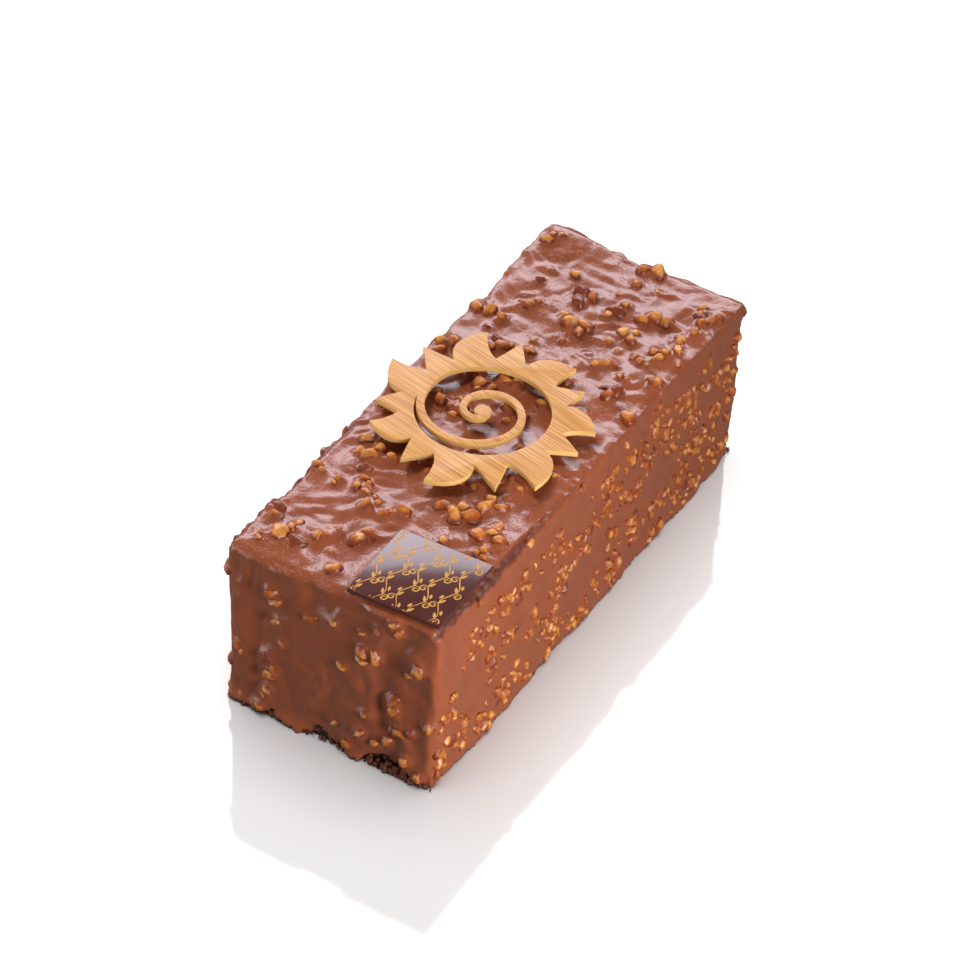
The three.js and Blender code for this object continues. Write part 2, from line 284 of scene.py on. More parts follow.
# Ends have a like line, lower and softer, where the top's coat curled over.
CURL_LINE, CURL_THICKNESS = 3.2, 0.45
end_line = CURL_LINE + 3.0 * ripple(place, 9, 14.4) + 1.4 * ripple(place, 2.4, 1.7)
curled = end_share * (1 - smoothstep(below_rim, end_line - 0.4, end_line + 0.4))
relief += CURL_THICKNESS * curled

# The coat's ragged foot: under it the dark cake stands back by the coat's thickness. It is
# torn away from a stretch near the corner of the plaque end, where the cake shows most.
TORN_AT, TORN_HEIGHT, TORN_DEPTH = -22, 2.6, 0.9
END_FOOT, SIDE_FOOT = 1.6, 0.15
END_LOBES, SIDE_LOBES = 3.2, 0.8
CAKE_SET_BACK = 0.8
lobes = ripple(place, 7, 12.5)
at_end = abs(sharp[:, 0]) > HALF_X - 0.5
foot = np.where(at_end, END_FOOT, SIDE_FOOT) + np.where(at_end, END_LOBES, SIDE_LOBES) * lobes
foot += 1.7 * ripple(place, 1.9, 3.6)
torn = smoothstep(-abs(place[:, 1] - TORN_AT), -9, -3) * smoothstep(-place[:, 0], HALF_X - 6, HALF_X - 2)
foot = np.clip(foot + TORN_HEIGHT * torn, 0, None)
is_cake = (1 - smoothstep(sharp[:, 2], foot - 0.3, foot + 0.3)) * (foot > 0.1)
crumb_relief = 0.6 * ripple(place, 1.4, 2.2) + 0.35 * ripple(place, 3.2, 8.8)
# Near the table the coat spreads where it hangs lowest, and draws in where it stops higher.
spread = smoothstep(-sharp[:, 2], -6, 0) * np.where(at_end, 0.8 - 1.8 * lobes, 0.35 - 0.6 * lobes)
relief += spread * (1 - top_share)
relief = relief * (1 - is_cake) + is_cake * (crumb_relief - CAKE_SET_BACK - TORN_DEPTH * torn)

# Every nut is set on the coat's surface, and the coat rises round it. Those under the sun are
# pressed down to it, and three large ones carry it.
SUN_CENTRE = Vector((-6, 2.6))
SUN_REACH = 35.8
SUN_LIFT = 3.2
SUN_GAP, LOW_NUT_GAP = 0.05, 0.4
SEAT_NUT = 5.4
SEAT_TURNS = (0.1, 0.43, 0.77)
SEAT_RADIUS = 22.75
COVERED_SHARE, COVERED_WHOLE = 0.07, 2.0
MOST_COVER_TOP, MOST_COVER = 0.45, 0.25
all_nuts = []
for face in FACES:
    random = random_from(face["seed"])
    nuts = []
    scatter(face, nuts, random, *face["large"])
    scatter(face, nuts, random, *face["small"])
    if face["name"] == "top":
        for turn in SEAT_TURNS:
            u = SUN_CENTRE.x + SEAT_RADIUS * math.cos(turn * 2 * math.pi)
            v = SUN_CENTRE.y + SEAT_RADIUS * math.sin(turn * 2 * math.pi)
            nuts.append({"u": u, "v": v, "size": SEAT_NUT, "seat": True})
    for nut in nuts:
        point = np.array(face["at"]) + np.array(face["u"]) * nut["u"] + np.array(face["v"]) * nut["v"]
        at, way = skin(point)
        nut["face"], nut["at"], nut["out"] = face["name"], at[0], way[0]
        nut["stand"] = nut["size"] * face["stand"] * between(0.85, 1.2, random)
        nut["spin"] = between(0, 2 * math.pi, random)
        nut["shape"] = next(random)
        nut["tone"] = next(random)
        # How far up the chocolate covers it: about one in fifteen is covered whole.
        highest = MOST_COVER_TOP if face["name"] == "top" else MOST_COVER
        nut["cover"] = COVERED_WHOLE if next(random) < COVERED_SHARE else between(0, highest, random)
    all_nuts += nuts


def coat_near(nut, reach):
    """Which of the coat's points lie close to a nut."""
    return np.flatnonzero(np.all(abs(place - nut["at"]) < reach, axis=1))


def from_sun(nut):
    return math.hypot(nut["at"][0] - SUN_CENTRE.x, nut["at"][1] - SUN_CENTRE.y)


for nut in all_nuts:
    nut["at"] = nut["at"] + nut["out"] * relief[coat_near(nut, 1.0)].mean()
    if nut["face"] == "top" and from_sun(nut) < SUN_REACH + nut["size"]:
        room = HEIGHT + SUN_LIFT - nut["at"][2]
        nut["stand"] = room - SUN_GAP if "seat" in nut else min(nut["stand"], room - LOW_NUT_GAP)

# The share of a nut's height that the coat climbs, how far out its slope runs, and how much
# it lifts the coat more widely, so that nuts that lie together share a hill.
CREEP = {"top": (0.42, 1.4, 0.08), "side": (0.22, 0.7, 0.02), "end": (0.4, 1.6, 0.06)}
HILL_REACH, HIGHEST_HILL = 6, 1.2
SAME_FACE = 2.5
mound, hills = np.zeros(len(place)), np.zeros(len(place))
for nut in all_nuts:
    climb, width, lift = CREEP[nut["face"]]
    radius = nut["size"] * 0.45
    close = coat_near(nut, radius + HILL_REACH)
    away = place[close] - nut["at"]
    along_out = away @ nut["out"]
    flat = np.linalg.norm(away - along_out[:, None] * nut["out"], axis=1)
    rise = nut["stand"] * climb * (1 - smoothstep(flat, radius * 0.7, radius + width))
    mound[close] = np.maximum(mound[close], rise * (abs(along_out) < SAME_FACE))
    hill = nut["size"] * lift * (1 - smoothstep(flat, 0, radius + HILL_REACH))
    hills[close] += hill * (abs(along_out) < SAME_FACE)
hills = np.minimum(hills, HIGHEST_HILL) * np.where(place[:, 2] > HEIGHT - 3, off_plaque(place), 1)
for nut in all_nuts:
    close = coat_near(nut, 1.0)
    if "seat" not in nut and nut["face"] != "side":
        nut["at"] = nut["at"] + nut["out"] * hills[close].mean()
    if nut["face"] == "top" and from_sun(nut) < SUN_REACH:
        nut["stand"] = min(nut["stand"], HEIGHT + SUN_LIFT - SUN_GAP - nut["at"][2])
relief += (mound + hills) * (1 - is_cake)
place += out * relief[:, None]
place[:, 2] = np.where(sharp[:, 2] <= 0, 0, np.clip(place[:, 2], 0, None))

coat_mesh.vertices.foreach_set("co", place.ravel())
for name, values in {"poured": top_share + 0.5 * end_share, "edge": edge, "cake": is_cake}.items():
    layer = coat_mesh.attributes.new(name, "FLOAT", "POINT")
    layer.data.foreach_set("value", values.astype(np.float32))


def finished(name, mesh, material):
    """Makes a piece of a mesh in loaf millimetres, and puts it in the row's frame."""
    mesh.transform(TO_ROW)
    mesh.materials.append(material)
    piece = bpy.data.objects.new(name, mesh)
    bpy.context.scene.collection.objects.link(piece)
    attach(piece, "root")
    return piece


def linear(hex_colour):
    """An sRGB hex colour as the linear values that a shader takes."""
    parts = [int(hex_colour[i:i + 2], 16) / 255 for i in (1, 3, 5)]
    return (*[c / 12.92 if c <= 0.04045 else ((c + 0.055) / 1.055) ** 2.4 for c in parts], 1)


def add(tree, kind, settings=(), inputs=()):
    """Adds a node. Each input is given a value, or the output of another node."""
    made = tree.nodes.new("ShaderNode" + kind)
    for name, value in dict(settings).items():
        setattr(made, name, value)
    for name, value in dict(inputs).items():
        if isinstance(value, bpy.types.NodeSocket):
            tree.links.new(value, made.inputs[name])
        else:
            made.inputs[name].default_value = value
    return made


# Milk chocolate: cocoa fat sets with a satin skin, glossier where it was left to flow. In
# patches it is full of pinprick air bubbles, drawn a little large as small domes, and their
# glints are painted into its colour as pale specks.
BUBBLE = 0.85
chocolate = bpy.data.materials.new("milk_chocolate_poured")
chocolate.use_nodes = True
tree = chocolate.node_tree
shader = tree.nodes["Principled BSDF"]
coords = add(tree, "TexCoord").outputs["Object"]
poured = add(tree, "Attribute", {"attribute_name": "poured"}).outputs["Fac"]
rough_rim_and_painted_shade = add(tree, "Attribute", {"attribute_name": "edge"}).outputs["Fac"]
on_cake = add(tree, "Attribute", {"attribute_name": "cake"}).outputs["Fac"]
patches = add(tree, "TexNoise", inputs={"Vector": coords, "Scale": 1 / (9 * MM), "Detail": 3}).outputs["Fac"]
brown = add(tree, "Mix", {"data_type": "RGBA"}, {0: patches, 6: linear("#864329"), 7: linear("#9c5535")})
# Painted shade: the broken rim along the long side is painted a darker brown.
painted_rim_shade = add(tree, "Mix", {"data_type": "RGBA"}, {0: rough_rim_and_painted_shade, 6: brown.outputs[2], 7: linear("#5c2a1c")})
caked = add(tree, "Mix", {"data_type": "RGBA"}, {0: on_cake, 6: painted_rim_shade.outputs[2], 7: linear("#2c120b")})
gloss = add(tree, "MapRange", inputs={"Value": poured, "To Min": 0.36, "To Max": 0.25}).outputs[0]
matt_edge = add(tree, "Mix", {"data_type": "FLOAT"}, {0: rough_rim_and_painted_shade, 2: gloss, 3: 0.6}).outputs[0]
dull = add(tree, "Mix", {"data_type": "FLOAT"}, {0: on_cake, 2: matt_edge, 3: 0.85}).outputs[0]
tree.links.new(dull, shader.inputs["Roughness"])
shader.inputs["IOR"].default_value = 1.47
shader.inputs["Subsurface Weight"].default_value = 0.06
shader.inputs["Subsurface Radius"].default_value = (1.2, 0.5, 0.3)
shader.inputs["Subsurface Scale"].default_value = 0.8 * MM
cell = add(tree, "TexVoronoi", inputs={"Vector": coords, "Scale": 1 / (BUBBLE * MM)})
blown = add(tree, "SeparateColor", inputs={0: cell.outputs["Color"]}).outputs[0]
size = add(tree, "MapRange", inputs={"Value": blown, "To Min": 0.2, "To Max": 0.42}).outputs[0]
bubble = add(tree, "MapRange", {"interpolation_type": "SMOOTHSTEP"},
             {"Value": cell.outputs["Distance"], "From Min": size, "From Max": 0.0}).outputs[0]
zones = add(tree, "TexNoise", inputs={"Vector": coords, "Scale": 1 / (24 * MM), "Detail": 2}).outputs["Fac"]
zone = add(tree, "MapRange", {"interpolation_type": "SMOOTHSTEP"},
           {"Value": zones, "From Min": 0.46, "From Max": 0.56}).outputs[0]
on_top = add(tree, "MapRange", inputs={"Value": poured, "From Min": 0.5}).outputs[0]
bubbly = add(tree, "Math", {"operation": "MULTIPLY"}, {0: zone, 1: on_top}).outputs[0]
bubble_dome_and_painted_glint = add(tree, "Math", {"operation": "MULTIPLY"}, {0: bubble, 1: bubbly}).outputs[0]
# Painted highlight: the glint on each bubble is painted as a pale speck in the base colour.
painted_glint_colour = add(tree, "Mix", {"data_type": "RGBA"}, {0: bubble_dome_and_painted_glint, 6: caked.outputs[2], 7: linear("#b98672")})
tree.links.new(painted_glint_colour.outputs[2], shader.inputs["Base Color"])
domed = add(tree, "Bump", inputs={"Height": bubble_dome_and_painted_glint, "Strength": 1.0, "Distance": 0.2 * MM}).outputs[0]
flow = add(tree, "TexNoise", inputs={
    "Vector": coords, "Scale": 1 / (2.6 * MM), "Detail": 3, "Distortion": 0.6})
uneven = add(tree, "Bump", inputs={
    "Height": flow.outputs["Fac"], "Strength": 0.6, "Distance": 0.3 * MM, "Normal": domed})
tree.links.new(uneven.outputs[0], shader.inputs["Normal"])

coat_mesh.polygons.foreach_set("use_smooth", [True] * len(coat_mesh.polygons))
coat = finished("coat", coat_mesh, chocolate)
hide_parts("cake")

# ---------------------------------------------------------------- the chopped nuts
# Roasted nuts chopped by blade, so they are round lumps with flat cuts across them. Each wears
# a film of chocolate that thins towards its crown, where the roasted nut shows golden.
LUMP_RADIUS = 0.54
NEAREST_CUT, FARTHEST_CUT = 0.27, 0.44
# Edges keener than the first are worn down, and those softer than the second are shaded smooth.
KEEN_EDGE, SOFT_EDGE = math.radians(32), math.radians(42)
WEAR = 0.07


def nut_shape(seed, widths, cuts):
    """One chopped nut about 1 mm across: a lump with flat cuts and worn edges."""
    random = random_from(seed)
    shape = bmesh.new()
    bmesh.ops.create_icosphere(shape, subdivisions=2, radius=LUMP_RADIUS)
    bmesh.ops.rotate(shape, verts=shape.verts, cent=(0, 0, 0),
                     matrix=Matrix.Rotation(between(0, 3, random), 3, (0.6, 0.64, 0.48)))
    for _ in range(cuts):
        turn = between(0, 2 * math.pi, random)
        tilt = between(-0.9, 1.0, random)
        level = math.sqrt(1 - tilt * tilt)
        way = Vector((level * math.cos(turn), level * math.sin(turn), tilt))
        cut = bmesh.ops.bisect_plane(
            shape, geom=shape.verts[:] + shape.edges[:] + shape.faces[:], dist=0.02,
            plane_co=way * between(NEAREST_CUT, FARTHEST_CUT, random), plane_no=way, clear_outer=True,
        )
        rim = [g for g in cut["geom_cut"] if isinstance(g, bmesh.types.BMEdge)]
        bmesh.ops.contextual_create(shape, geom=rim)
    bmesh.ops.dissolve_limit(shape, angle_limit=math.radians(14), verts=shape.verts, edges=shape.edges)
    keen = [e for e in shape.edges if e.calc_face_angle(0) > KEEN_EDGE]
    bmesh.ops.bevel(shape, geom=keen, offset=WEAR, segments=1, profile=0.5, affect="EDGES",
                    material=-1, clamp_overlap=True)
    bmesh.ops.scale(shape, vec=widths, verts=shape.verts)
    bmesh.ops.triangulate(shape, faces=shape.faces)
    bmesh.ops.recalc_face_normals(shape, faces=shape.faces)
    for f in shape.faces:
        f.smooth = True
    for e in shape.edges:
        e.smooth = e.calc_face_angle(0) < SOFT_EDGE
    mesh = bpy.data.meshes.new("nut_shape")
    shape.to_mesh(mesh)
    shape.free()
    return mesh


# Lumps for the top and the ends, and thinner flakes, cut more often, for the long sides.
LUMPS = [nut_shape(100 + i, (1.2, 0.95, 1.0), 6) for i in range(14)]
FLAKES = [nut_shape(300 + i, (0.85, 1.25, 0.8), 10) for i in range(14)]
LUMPS_AMONG_FLAKES = 6
SKIRT = 0.28
LEAST_HEIGHT = 0.05


def joined_nuts(name, nuts, shapes):
    """Joins a copy of one of the shapes for each nut, seated in the coat. The chocolate that
    it stands in makes a skirt, so the lower half widens, and its crown is the barest part."""
    bm = bmesh.new()
    bare_layer = bm.verts.layers.float.new("bare")
    tone_layer = bm.verts.layers.float.new("tone")
    for nut in nuts:
        shape = shapes[int(nut["shape"] * len(shapes))]
        way = Vector(nut["out"])
        turn = way.to_track_quat("Z", "Y").to_matrix().to_4x4()
        # Flakes on the long sides hang roughly upright, and the rest lie any way.
        spin = nut["spin"] if nut["face"] != "side" else math.sin(nut["spin"]) * 0.8
        tip = 0.4 * math.cos(7 * nut["spin"])
        turn = turn @ Matrix.Rotation(spin, 4, "Z") @ Matrix.Rotation(tip, 4, "X")
        turn = turn @ Matrix.Scale(nut["size"], 4)
        crown = max((turn @ v.co).dot(way) for v in shape.vertices)
        seat = Vector(nut["at"]) + way * (nut["stand"] - crown)
        before = len(bm.verts)
        bm.from_mesh(shape)
        bm.verts.ensure_lookup_table()
        new = bm.verts[before:]
        bmesh.ops.transform(bm, matrix=Matrix.Translation(seat) @ turn, verts=new)
        for v in new:
            rise = (v.co - Vector(nut["at"])).dot(way)
            height = rise / nut["stand"]
            across = v.co - Vector(nut["at"]) - way * rise
            v.co += across * SKIRT * min(1.0, max(0.0, 1 - height / 0.6)) ** 2
            v.co.z = max(v.co.z, LEAST_HEIGHT)
            facing = max(0.0, (turn @ v.normal).normalized().dot(way))
            bare = min(1.0, max(0.0, (height - nut["cover"]) / 0.6))
            v[bare_layer] = bare * (0.55 + 0.45 * facing)
            v[tone_layer] = nut["tone"]
    mesh = bpy.data.meshes.new(name)
    bm.to_mesh(mesh)
    bm.free()
    return mesh


# Roasted nut: golden where it is bare and darker where it is toasted more, under a film of
# chocolate that turns from brown to amber as it thins.
nut_finish = bpy.data.materials.new("roasted_nut_in_chocolate")
nut_finish.use_nodes = True
tree = nut_finish.node_tree
shader = tree.nodes["Principled BSDF"]
coords = add(tree, "TexCoord").outputs["Object"]
bare = add(tree, "Attribute", {"attribute_name": "bare"}).outputs["Fac"]
tone = add(tree, "Attribute", {"attribute_name": "tone"}).outputs["Fac"]
film = add(tree, "TexNoise", inputs={"Vector": coords, "Scale": 1 / (1.7 * MM), "Detail": 3}).outputs["Fac"]
thin = add(tree, "Math", {"operation": "MULTIPLY_ADD"}, {0: film, 1: 0.7, 2: bare}).outputs[0]
film_gone = add(tree, "MapRange", {"interpolation_type": "SMOOTHSTEP"},
                {"Value": thin, "From Min": 0.62, "From Max": 1.22}).outputs[0]
film_thin = add(tree, "MapRange", {"interpolation_type": "SMOOTHSTEP"},
                {"Value": thin, "From Min": 0.36, "From Max": 0.7}).outputs[0]
roast = add(tree, "TexNoise", inputs={"Vector": coords, "Scale": 1 / (2.4 * MM), "Detail": 2}).outputs["Fac"]
roasted = add(tree, "Math", {"operation": "MULTIPLY_ADD"}, {0: tone, 1: 0.5, 2: roast}).outputs[0]
toasting = add(tree, "MapRange", inputs={"Value": roasted, "From Min": 0.45, "From Max": 1.1}).outputs[0]
golden = add(tree, "Mix", {"data_type": "RGBA"}, {0: toasting, 6: linear("#dc994c"), 7: linear("#a8541c")})
filmed = add(tree, "Mix", {"data_type": "RGBA"}, {0: film_thin, 6: linear("#7a361e"), 7: linear("#903f16")})
skinned = add(tree, "Mix", {"data_type": "RGBA"}, {0: film_gone, 6: filmed.outputs[2], 7: golden.outputs[2]})
tree.links.new(skinned.outputs[2], shader.inputs["Base Color"])
shader.inputs["Roughness"].default_value = 0.36
shader.inputs["IOR"].default_value = 1.47
shader.inputs["Subsurface Weight"].default_value = 0.15
shader.inputs["Subsurface Radius"].default_value = (1.6, 0.8, 0.3)
shader.inputs["Subsurface Scale"].default_value = 0.8 * MM
pores = add(tree, "TexNoise", inputs={"Vector": coords, "Scale": 1 / (1.5 * MM), "Detail": 3})
rough = add(tree, "Bump", inputs={"Height": pores.outputs["Fac"], "Strength": 0.8, "Distance": 0.4 * MM})
tree.links.new(rough.outputs[0], shader.inputs["Normal"])

mixed = FLAKES + LUMPS[:LUMPS_AMONG_FLAKES]
for face_name, shapes in {"top": LUMPS, "side": mixed, "end": LUMPS}.items():
    mesh = joined_nuts("nuts_" + face_name, [n for n in all_nuts if n["face"] == face_name], shapes)
    finished("nuts_" + face_name, mesh, nut_finish)

# ---------------------------------------------------------------- crumbs at the foot
# Dark cake that broke off under the coat when the loaf was lifted from the rack. Most of it
# sticks out at the foot of the plaque end, near its corner.
crumb_random = random_from(77)
crumbs = bmesh.new()


def drop_crumb(x, y, size, heap):
    """Adds an uneven crumb, lying on the table or up to the heap's height above it."""
    before = len(crumbs.verts)
    bmesh.ops.create_icosphere(crumbs, subdivisions=1, radius=size / 2)
    crumbs.verts.ensure_lookup_table()
    grains = crumbs.verts[before:]
    for v in grains:
        v.co *= between(0.6, 1.35, crumb_random)
    lowest = min(v.co.z for v in grains)
    height = next(crumb_random) * next(crumb_random) * heap - lowest
    bmesh.ops.translate(crumbs, vec=(x, y, height), verts=grains)


# A heap where the coat is torn, then a scattering along the plaque end, the sides and far end.
for _ in range(120):
    y = TORN_AT + between(-10, 10, crumb_random) * math.sqrt(next(crumb_random))
    drop_crumb(between(-0.9, 0.9, crumb_random) - HALF_X, y, between(0.7, 2.2, crumb_random), 4)
for _ in range(130):
    y = between(-HALF_Y, HALF_Y, crumb_random)
    drop_crumb(between(-0.6, 0.9, crumb_random) - HALF_X, y, between(0.5, 1.6, crumb_random), 1.5)
for _ in range(90):
    side = -1 if next(crumb_random) < 0.5 else 1
    drop_crumb(between(-HALF_X, HALF_X, crumb_random),
               side * (HALF_Y + between(-0.8, 0.2, crumb_random)), between(0.5, 1.3, crumb_random), 1)
for _ in range(50):
    drop_crumb(HALF_X + between(-0.8, 0.5, crumb_random),
               between(-HALF_Y, HALF_Y, crumb_random), between(0.6, 1.5, crumb_random), 1.5)
crumb_mesh = bpy.data.meshes.new("crumbs")
crumbs.to_mesh(crumb_mesh)
crumbs.free()

# Dark cocoa cake: open and dry, so it has no sheen, and its torn grain catches light in specks.
crumb_finish = bpy.data.materials.new("dark_cake_crumb")
crumb_finish.use_nodes = True
tree = crumb_finish.node_tree
shader = tree.nodes["Principled BSDF"]
coords = add(tree, "TexCoord").outputs["Object"]
baked = add(tree, "TexNoise", inputs={"Vector": coords, "Scale": 1 / (1.5 * MM), "Detail": 3}).outputs["Fac"]
shade = add(tree, "Mix", {"data_type": "RGBA"}, {0: baked, 6: linear("#2a110a"), 7: linear("#7c3c20")})
tree.links.new(shade.outputs[2], shader.inputs["Base Color"])
shader.inputs["Roughness"].default_value = 0.8
open_crumb = add(tree, "TexNoise", inputs={"Vector": coords, "Scale": 1 / (0.5 * MM), "Detail": 3})
rough = add(tree, "Bump", inputs={"Height": open_crumb.outputs["Fac"], "Strength": 0.8, "Distance": 0.2 * MM})
tree.links.new(rough.outputs[0], shader.inputs["Normal"])
finished("crumbs", crumb_mesh, crumb_finish)

# ---------------------------------------------------------------- the bamboo sun
# A sun sawn from 1.7 mm bamboo veneer, with straight grain, its corners rubbed down. It lies
# loose on the tallest nuts, so its shadow falls on the coat under it.
EASED = 0.3


def cad_copy(node):
    """A copy of a CAD node in loaf millimetres, with its loose triangles merged into faces."""
    copy = bmesh.new()
    copy.from_mesh(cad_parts[node].data)
    bmesh.ops.translate(copy, vec=-LOAF_PLACE, verts=copy.verts)
    bmesh.ops.scale(copy, vec=(1 / MM,) * 3, verts=copy.verts)
    bmesh.ops.remove_doubles(copy, verts=copy.verts, dist=0.01)
    bmesh.ops.dissolve_limit(copy, angle_limit=math.radians(1), verts=copy.verts, edges=copy.edges)
    return copy


def eased_mesh(name, copy, offset, keen):
    """Rounds the edges keener than an angle, and shades the rest smooth."""
    rims = [e for e in copy.edges if e.calc_face_angle(0) > keen]
    bmesh.ops.bevel(copy, geom=rims, offset=offset, segments=3, profile=0.5, affect="EDGES",
                    material=-1, clamp_overlap=True)
    bmesh.ops.recalc_face_normals(copy, faces=copy.faces)
    for f in copy.faces:
        f.smooth = True
    for e in copy.edges:
        e.smooth = e.calc_face_angle(0) < math.radians(38)
    mesh = bpy.data.meshes.new(name)
    copy.to_mesh(mesh)
    copy.free()
    return mesh


sun_mesh = eased_mesh("bamboo_sun", cad_copy("sun_ornament"), EASED, math.radians(70))

# Bamboo: pale straw with darker, redder fibres that run straight across the whole sun. Its
# sawn edges are paler and yellower than its faces.
FIBRE_TURN = math.radians(-12.7)
bamboo = bpy.data.materials.new("bamboo_veneer")
bamboo.use_nodes = True
tree = bamboo.node_tree
shader = tree.nodes["Principled BSDF"]
coords = add(tree, "TexCoord")
across = {"vector_type": "TEXTURE"}
broad = add(tree, "Mapping", across, {"Vector": coords.outputs["Object"], "Rotation": (0, 0, FIBRE_TURN),
                                      "Scale": (3.5 * MM, 50 * MM, 8 * MM)})
band = add(tree, "TexNoise", inputs={"Vector": broad.outputs[0], "Scale": 1, "Detail": 2}).outputs["Fac"]
narrow = add(tree, "Mapping", across, {"Vector": coords.outputs["Object"], "Rotation": (0, 0, FIBRE_TURN),
                                       "Scale": (0.4 * MM, 30 * MM, 3 * MM)})
thread = add(tree, "TexNoise", inputs={"Vector": narrow.outputs[0], "Scale": 1, "Detail": 1}).outputs["Fac"]
streak = add(tree, "MapRange", {"interpolation_type": "SMOOTHSTEP"},
             {"Value": thread, "From Min": 0.36, "From Max": 0.58}).outputs[0]
pale = add(tree, "Mix", {"data_type": "RGBA"}, {0: band, 6: linear("#d3964a"), 7: linear("#e2ab5a")})
wood = add(tree, "Mix", {"data_type": "RGBA"}, {0: streak, 6: linear("#b8722c"), 7: pale.outputs[2]})
facing = add(tree, "SeparateXYZ", inputs={0: coords.outputs["Normal"]}).outputs["Z"]
flat_face = add(tree, "MapRange", inputs={"Value": facing, "From Min": 0.3, "From Max": 0.8}).outputs[0]
sawn = add(tree, "Mix", {"data_type": "RGBA"}, {0: flat_face, 6: linear("#dfb26c"), 7: wood.outputs[2]})
tree.links.new(sawn.outputs[2], shader.inputs["Base Color"])
shader.inputs["Roughness"].default_value = 0.48
shader.inputs["IOR"].default_value = 1.5
ribs = add(tree, "Bump", inputs={"Height": thread, "Strength": 0.5, "Distance": 0.06 * MM})
tree.links.new(ribs.outputs[0], shader.inputs["Normal"])
ornament = finished("bamboo_sun", sun_mesh, bamboo)
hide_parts("sun_ornament")

# ---------------------------------------------------------------- the plaque and its print
# A 30 mm square of tempered dark chocolate, set on a printed sheet, so its upper face is as
# smooth as glass and carries a gold transfer: rows of vines with curling tendrils.
plaque = cad_copy("plaque")
upper = max(plaque.faces, key=lambda f: f.normal.z * f.calc_area())
print_middle, print_up = upper.calc_center_median().copy(), upper.normal.copy()
PLAQUE_EASED = 0.14
plaque_mesh = eased_mesh("chocolate_plaque", plaque, PLAQUE_EASED, math.radians(30))

# Tempered dark chocolate: a near black brown with a red cast, glossy enough to mirror the room,
# but so softly waved that the mirror image has no edge.
dark = bpy.data.materials.new("dark_chocolate_tempered")
dark.use_nodes = True
tree = dark.node_tree
shader = tree.nodes["Principled BSDF"]
coords = add(tree, "TexCoord").outputs["Object"]
bloom = add(tree, "TexNoise", inputs={"Vector": coords, "Scale": 1 / (7 * MM), "Detail": 3}).outputs["Fac"]
tint = add(tree, "Mix", {"data_type": "RGBA"}, {0: bloom, 6: linear("#46201b"), 7: linear("#582d29")})
tree.links.new(tint.outputs[2], shader.inputs["Base Color"])
shader.inputs["Roughness"].default_value = 0.17
shader.inputs["IOR"].default_value = 1.48
ripples = add(tree, "TexNoise", inputs={"Vector": coords, "Scale": 1 / (9 * MM), "Detail": 1})
soft = add(tree, "Bump", inputs={"Height": ripples.outputs["Fac"], "Strength": 0.3, "Distance": 0.2 * MM})
tree.links.new(soft.outputs[0], shader.inputs["Normal"])
plate = finished("chocolate_plaque", plaque_mesh, dark)
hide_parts("plaque")

# The print lies in the plaque's own plane and turn, a little sunk so that it leaves no gap.
PLAQUE_TURN = math.radians(1.4)
PRINT_EDGE = PLAQUE_SIDE / 2 - 0.5
PRINT_HEIGHT, PRINT_SUNK = 0.03, 0.005
CURL_STROKE, VINE_STROKE, LEAF_STROKE = 0.46, 0.38, 0.85
gold_print = bmesh.new()


def stroke(points, width, tip=0.35):
    """A flat ribbon along points of the print, cut off at the plaque's edge. Its ends narrow
    to the tip's share of its width."""
    previous = None
    for i, point in enumerate(points):
        along = (points[min(i + 1, len(points) - 1)] - points[max(i - 1, 0)]).normalized()
        taper = math.sin(math.pi * i / (len(points) - 1))
        half = Vector((-along.y, along.x)) * width / 2 * (tip + (1 - tip) * taper)
        if max(abs(point.x), abs(point.y)) > PRINT_EDGE:
            previous = None
            continue
        ends = [bmesh.ops.create_vert(gold_print, co=(*(point + s * half), 0))["vert"][0] for s in (-1, 1)]
        if previous:
            bmesh.ops.contextual_create(gold_print, geom=[*previous, *ends])
        previous = ends


def polar(radius, angle):
    return Vector((radius * math.cos(angle), radius * math.sin(angle)))


def tendril(root, heading, hand, size):
    """A curl that leaves the vine at a heading and winds in to a fifth of its size."""
    middle = root + polar(size, heading + hand * math.pi / 2)
    start = heading - hand * math.pi / 2
    shares = [i / 30 for i in range(31)]
    winding = [polar(size * (1 - 0.8 * t), start + hand * 2.7 * math.pi * t) for t in shares]
    stroke([middle + step for step in winding], CURL_STROKE)


def leaf(root, heading, length):
    """A pointed leaf with one end on the vine."""
    stroke([root + polar(length * t / 8, heading) for t in range(9)], LEAF_STROKE, 0.06)


VINE_GAP, VINE_WAVE, VINE_SWING = 5.8, 12.0, 1.2
VINE_BEND = 2 * math.pi / VINE_WAVE


def vine_point(x, level, shift):
    return Vector((x, level + VINE_SWING * math.sin(VINE_BEND * (x - shift))))


for row in range(-2, 3):
    level = row * VINE_GAP + 0.6
    shift = row * VINE_WAVE * 0.37
    stroke([vine_point(half / 2, level, shift) for half in range(-30, 31)], VINE_STROKE)
    # At each half wave a tendril curls to one side and a pair of leaves grows on the other.
    for half_wave in range(-6, 7):
        x = shift + VINE_WAVE * (half_wave / 2 + 0.12)
        hand = 1 if half_wave % 2 else -1
        slope = math.atan(VINE_SWING * VINE_BEND * math.cos(VINE_BEND * (x - shift)))
        root = vine_point(x, level, shift)
        tendril(root, slope, -hand, 1.35)
        leaf(root + polar(0.6, slope), slope + hand * 0.9, 2.6)
        leaf(root + polar(2.6, slope), slope + hand * 0.7, 2.0)
bmesh.ops.recalc_face_normals(gold_print, faces=gold_print.faces)
for f in gold_print.faces:
    if f.normal.z < 0:
        f.normal_flip()
lifted = bmesh.ops.extrude_face_region(gold_print, geom=gold_print.faces[:])["geom"]
raised = [g for g in lifted if isinstance(g, bmesh.types.BMVert)]
bmesh.ops.translate(gold_print, vec=(0, 0, PRINT_HEIGHT), verts=raised)
bmesh.ops.recalc_face_normals(gold_print, faces=gold_print.faces)
